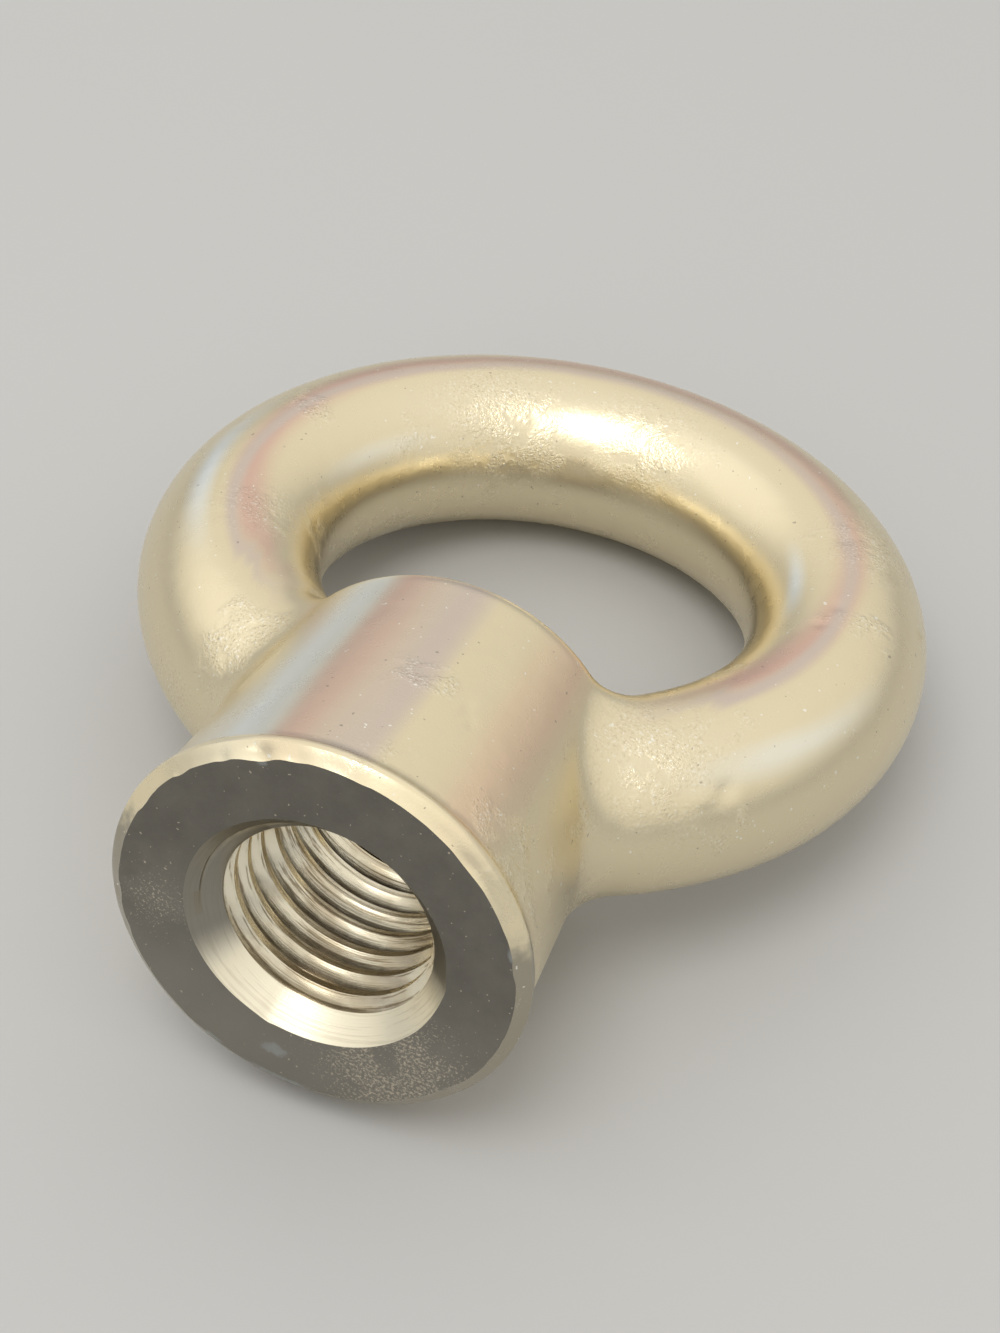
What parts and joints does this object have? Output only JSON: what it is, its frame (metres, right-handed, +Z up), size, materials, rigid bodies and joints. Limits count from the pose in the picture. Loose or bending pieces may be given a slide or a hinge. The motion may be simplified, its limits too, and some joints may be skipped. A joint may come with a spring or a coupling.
{
  "type": "lifting eye nut",
  "caption": "One-piece cast stainless lifting eye nut: a round-bar ring grown from a drafted, tapped boss with a proud rim round its seat, lying on its side.",
  "frame": {"origin": "middle of the nut's outline on the surface it lies on, Z = 0 being that surface", "axes": "+Y from the seat towards the ring, +Z up from the surface, X across the ring; the thread's axis dips towards the ring by the nut's angle at rest, about 8.2 degrees"},
  "size_m": [0.072, 0.0876, 0.0366],
  "materials": {
    "cast_stainless": "cast stainless steel, polished over its as-cast grain, with a turned seat and a cut thread"
  },
  "bodies": {
    "root": {"eye_nut": "cast_stainless"}
  },
  "joints": []
}
